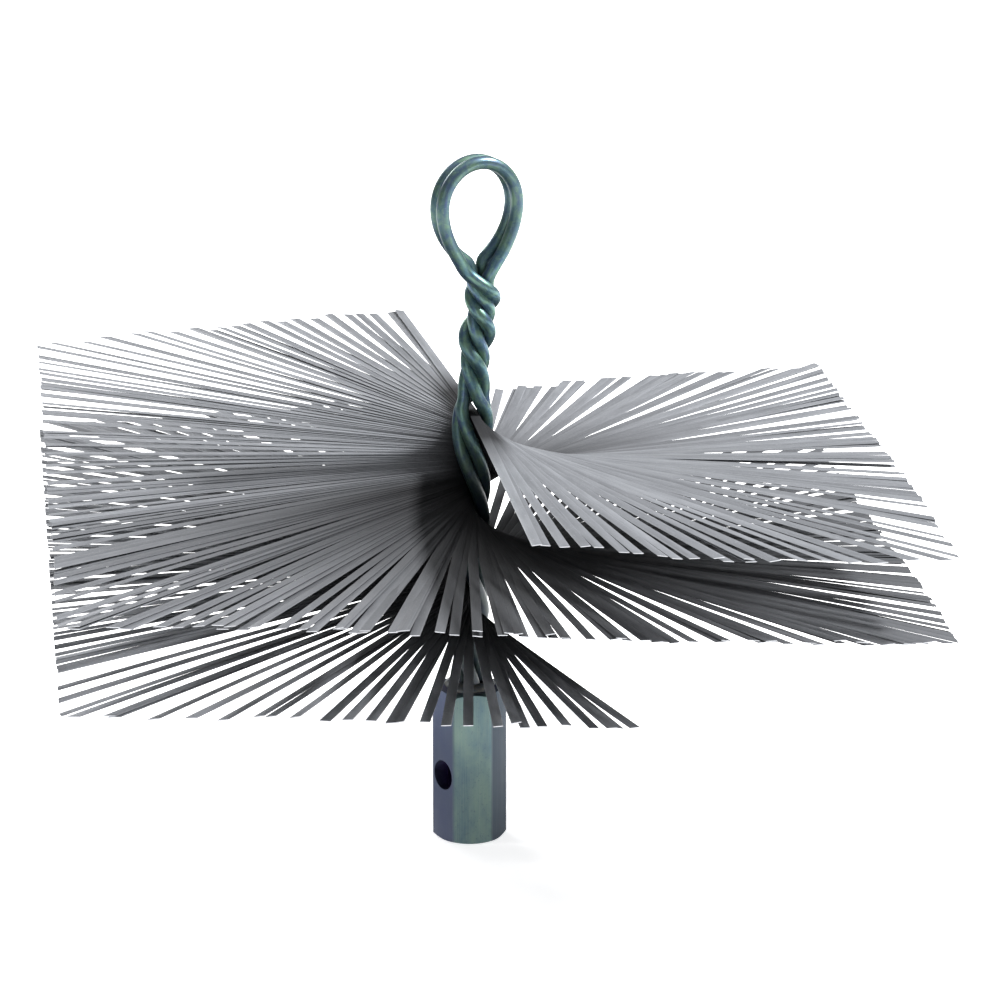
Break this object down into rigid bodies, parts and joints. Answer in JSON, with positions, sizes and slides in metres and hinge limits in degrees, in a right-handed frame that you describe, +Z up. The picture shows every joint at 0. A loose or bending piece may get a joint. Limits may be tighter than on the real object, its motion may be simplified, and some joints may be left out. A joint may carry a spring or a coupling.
{
  "type": "chimney sweep brush",
  "caption": "Square flat-wire chimney sweep brush: spiralled flat steel wires through a twisted wire stem with a pulling eye and a hexagonal rod coupling.",
  "frame": {"origin": "centre of the coupling's flat lower face, which the brush stands on", "axes": "+Z up along the stem to the eye, +X and +Y along the sides of the square that the wires are cut to"},
  "size_m": [0.3048, 0.3048, 0.256],
  "materials": {
    "flat_wire": "bare tempered spring steel strip, cut ends bright",
    "stem": "round steel wire, dark blue-green passivated",
    "coupling": "drawn hexagon bar, grey-green passivated",
    "weld": "rough weld metal, oxidised"
  },
  "bodies": {
    "root": {"coupling": "coupling", "stem_weld_bead": "weld", "stem_wire_front": "stem", "stem_wire_rear": "stem", "flat_wires_01": "flat_wire", "flat_wires_02": "flat_wire", "flat_wires_03": "flat_wire", "flat_wires_04": "flat_wire", "flat_wires_05": "flat_wire", "flat_wires_06": "flat_wire", "flat_wires_07": "flat_wire", "flat_wires_08": "flat_wire", "flat_wires_09": "flat_wire", "flat_wires_10": "flat_wire", "flat_wires_11": "flat_wire", "flat_wires_12": "flat_wire", "flat_wires_13": "flat_wire", "flat_wires_14": "flat_wire", "flat_wires_15": "flat_wire", "flat_wires_16": "flat_wire", "flat_wires_17": "flat_wire", "flat_wires_18": "flat_wire", "flat_wires_19": "flat_wire", "flat_wires_20": "flat_wire", "flat_wires_21": "flat_wire", "flat_wires_22": "flat_wire", "flat_wires_23": "flat_wire", "flat_wires_24": "flat_wire", "flat_wires_25": "flat_wire", "flat_wires_26": "flat_wire", "flat_wires_27": "flat_wire", "flat_wires_28": "flat_wire", "flat_wires_29": "flat_wire", "flat_wires_30": "flat_wire", "flat_wires_31": "flat_wire"}
  },
  "joints": []
}
